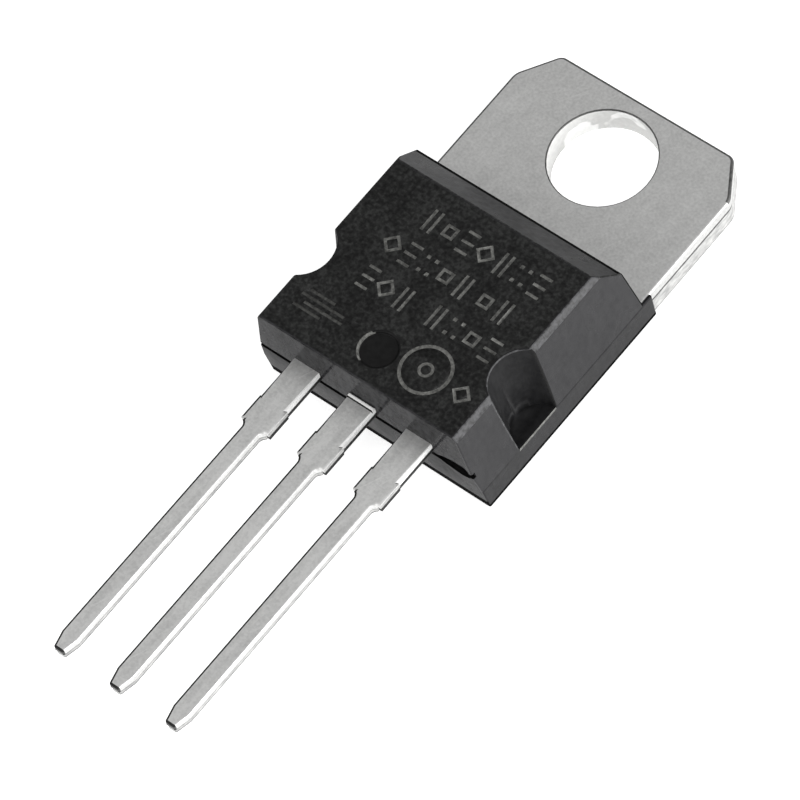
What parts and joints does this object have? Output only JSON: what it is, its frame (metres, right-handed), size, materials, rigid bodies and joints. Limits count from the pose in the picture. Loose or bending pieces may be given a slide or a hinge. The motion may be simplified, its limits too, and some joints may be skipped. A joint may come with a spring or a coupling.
{
  "type": "voltage regulator",
  "caption": "Three-lead linear voltage regulator in a moulded power package with a drilled metal tab and straight tinned leads.",
  "frame": {"origin": "centre of the mounting hole on the back face of the tab", "axes": "+Z out of the front face, +Y towards the free end of the tab, leads towards -Y; the input lead is at -X, the ground lead in the middle and the output lead at +X"},
  "size_m": [0.01, 0.029, 0.0044],
  "materials": {
    "tinned_copper": "matte tin plate",
    "solder": "dull",
    "silicon": "polished",
    "bond_wire": "bright",
    "moulding": "matte front face, smoother walls"
  },
  "bodies": {
    "root": {"heat_tab": "tinned_copper", "input_lead": "tinned_copper", "output_lead": "tinned_copper", "die_solder": "solder", "regulator_die": "silicon", "bond_wire_input": "bond_wire", "bond_wire_output": "bond_wire", "bond_wire_ground": "bond_wire", "moulded_body": "moulding"}
  },
  "joints": []
}
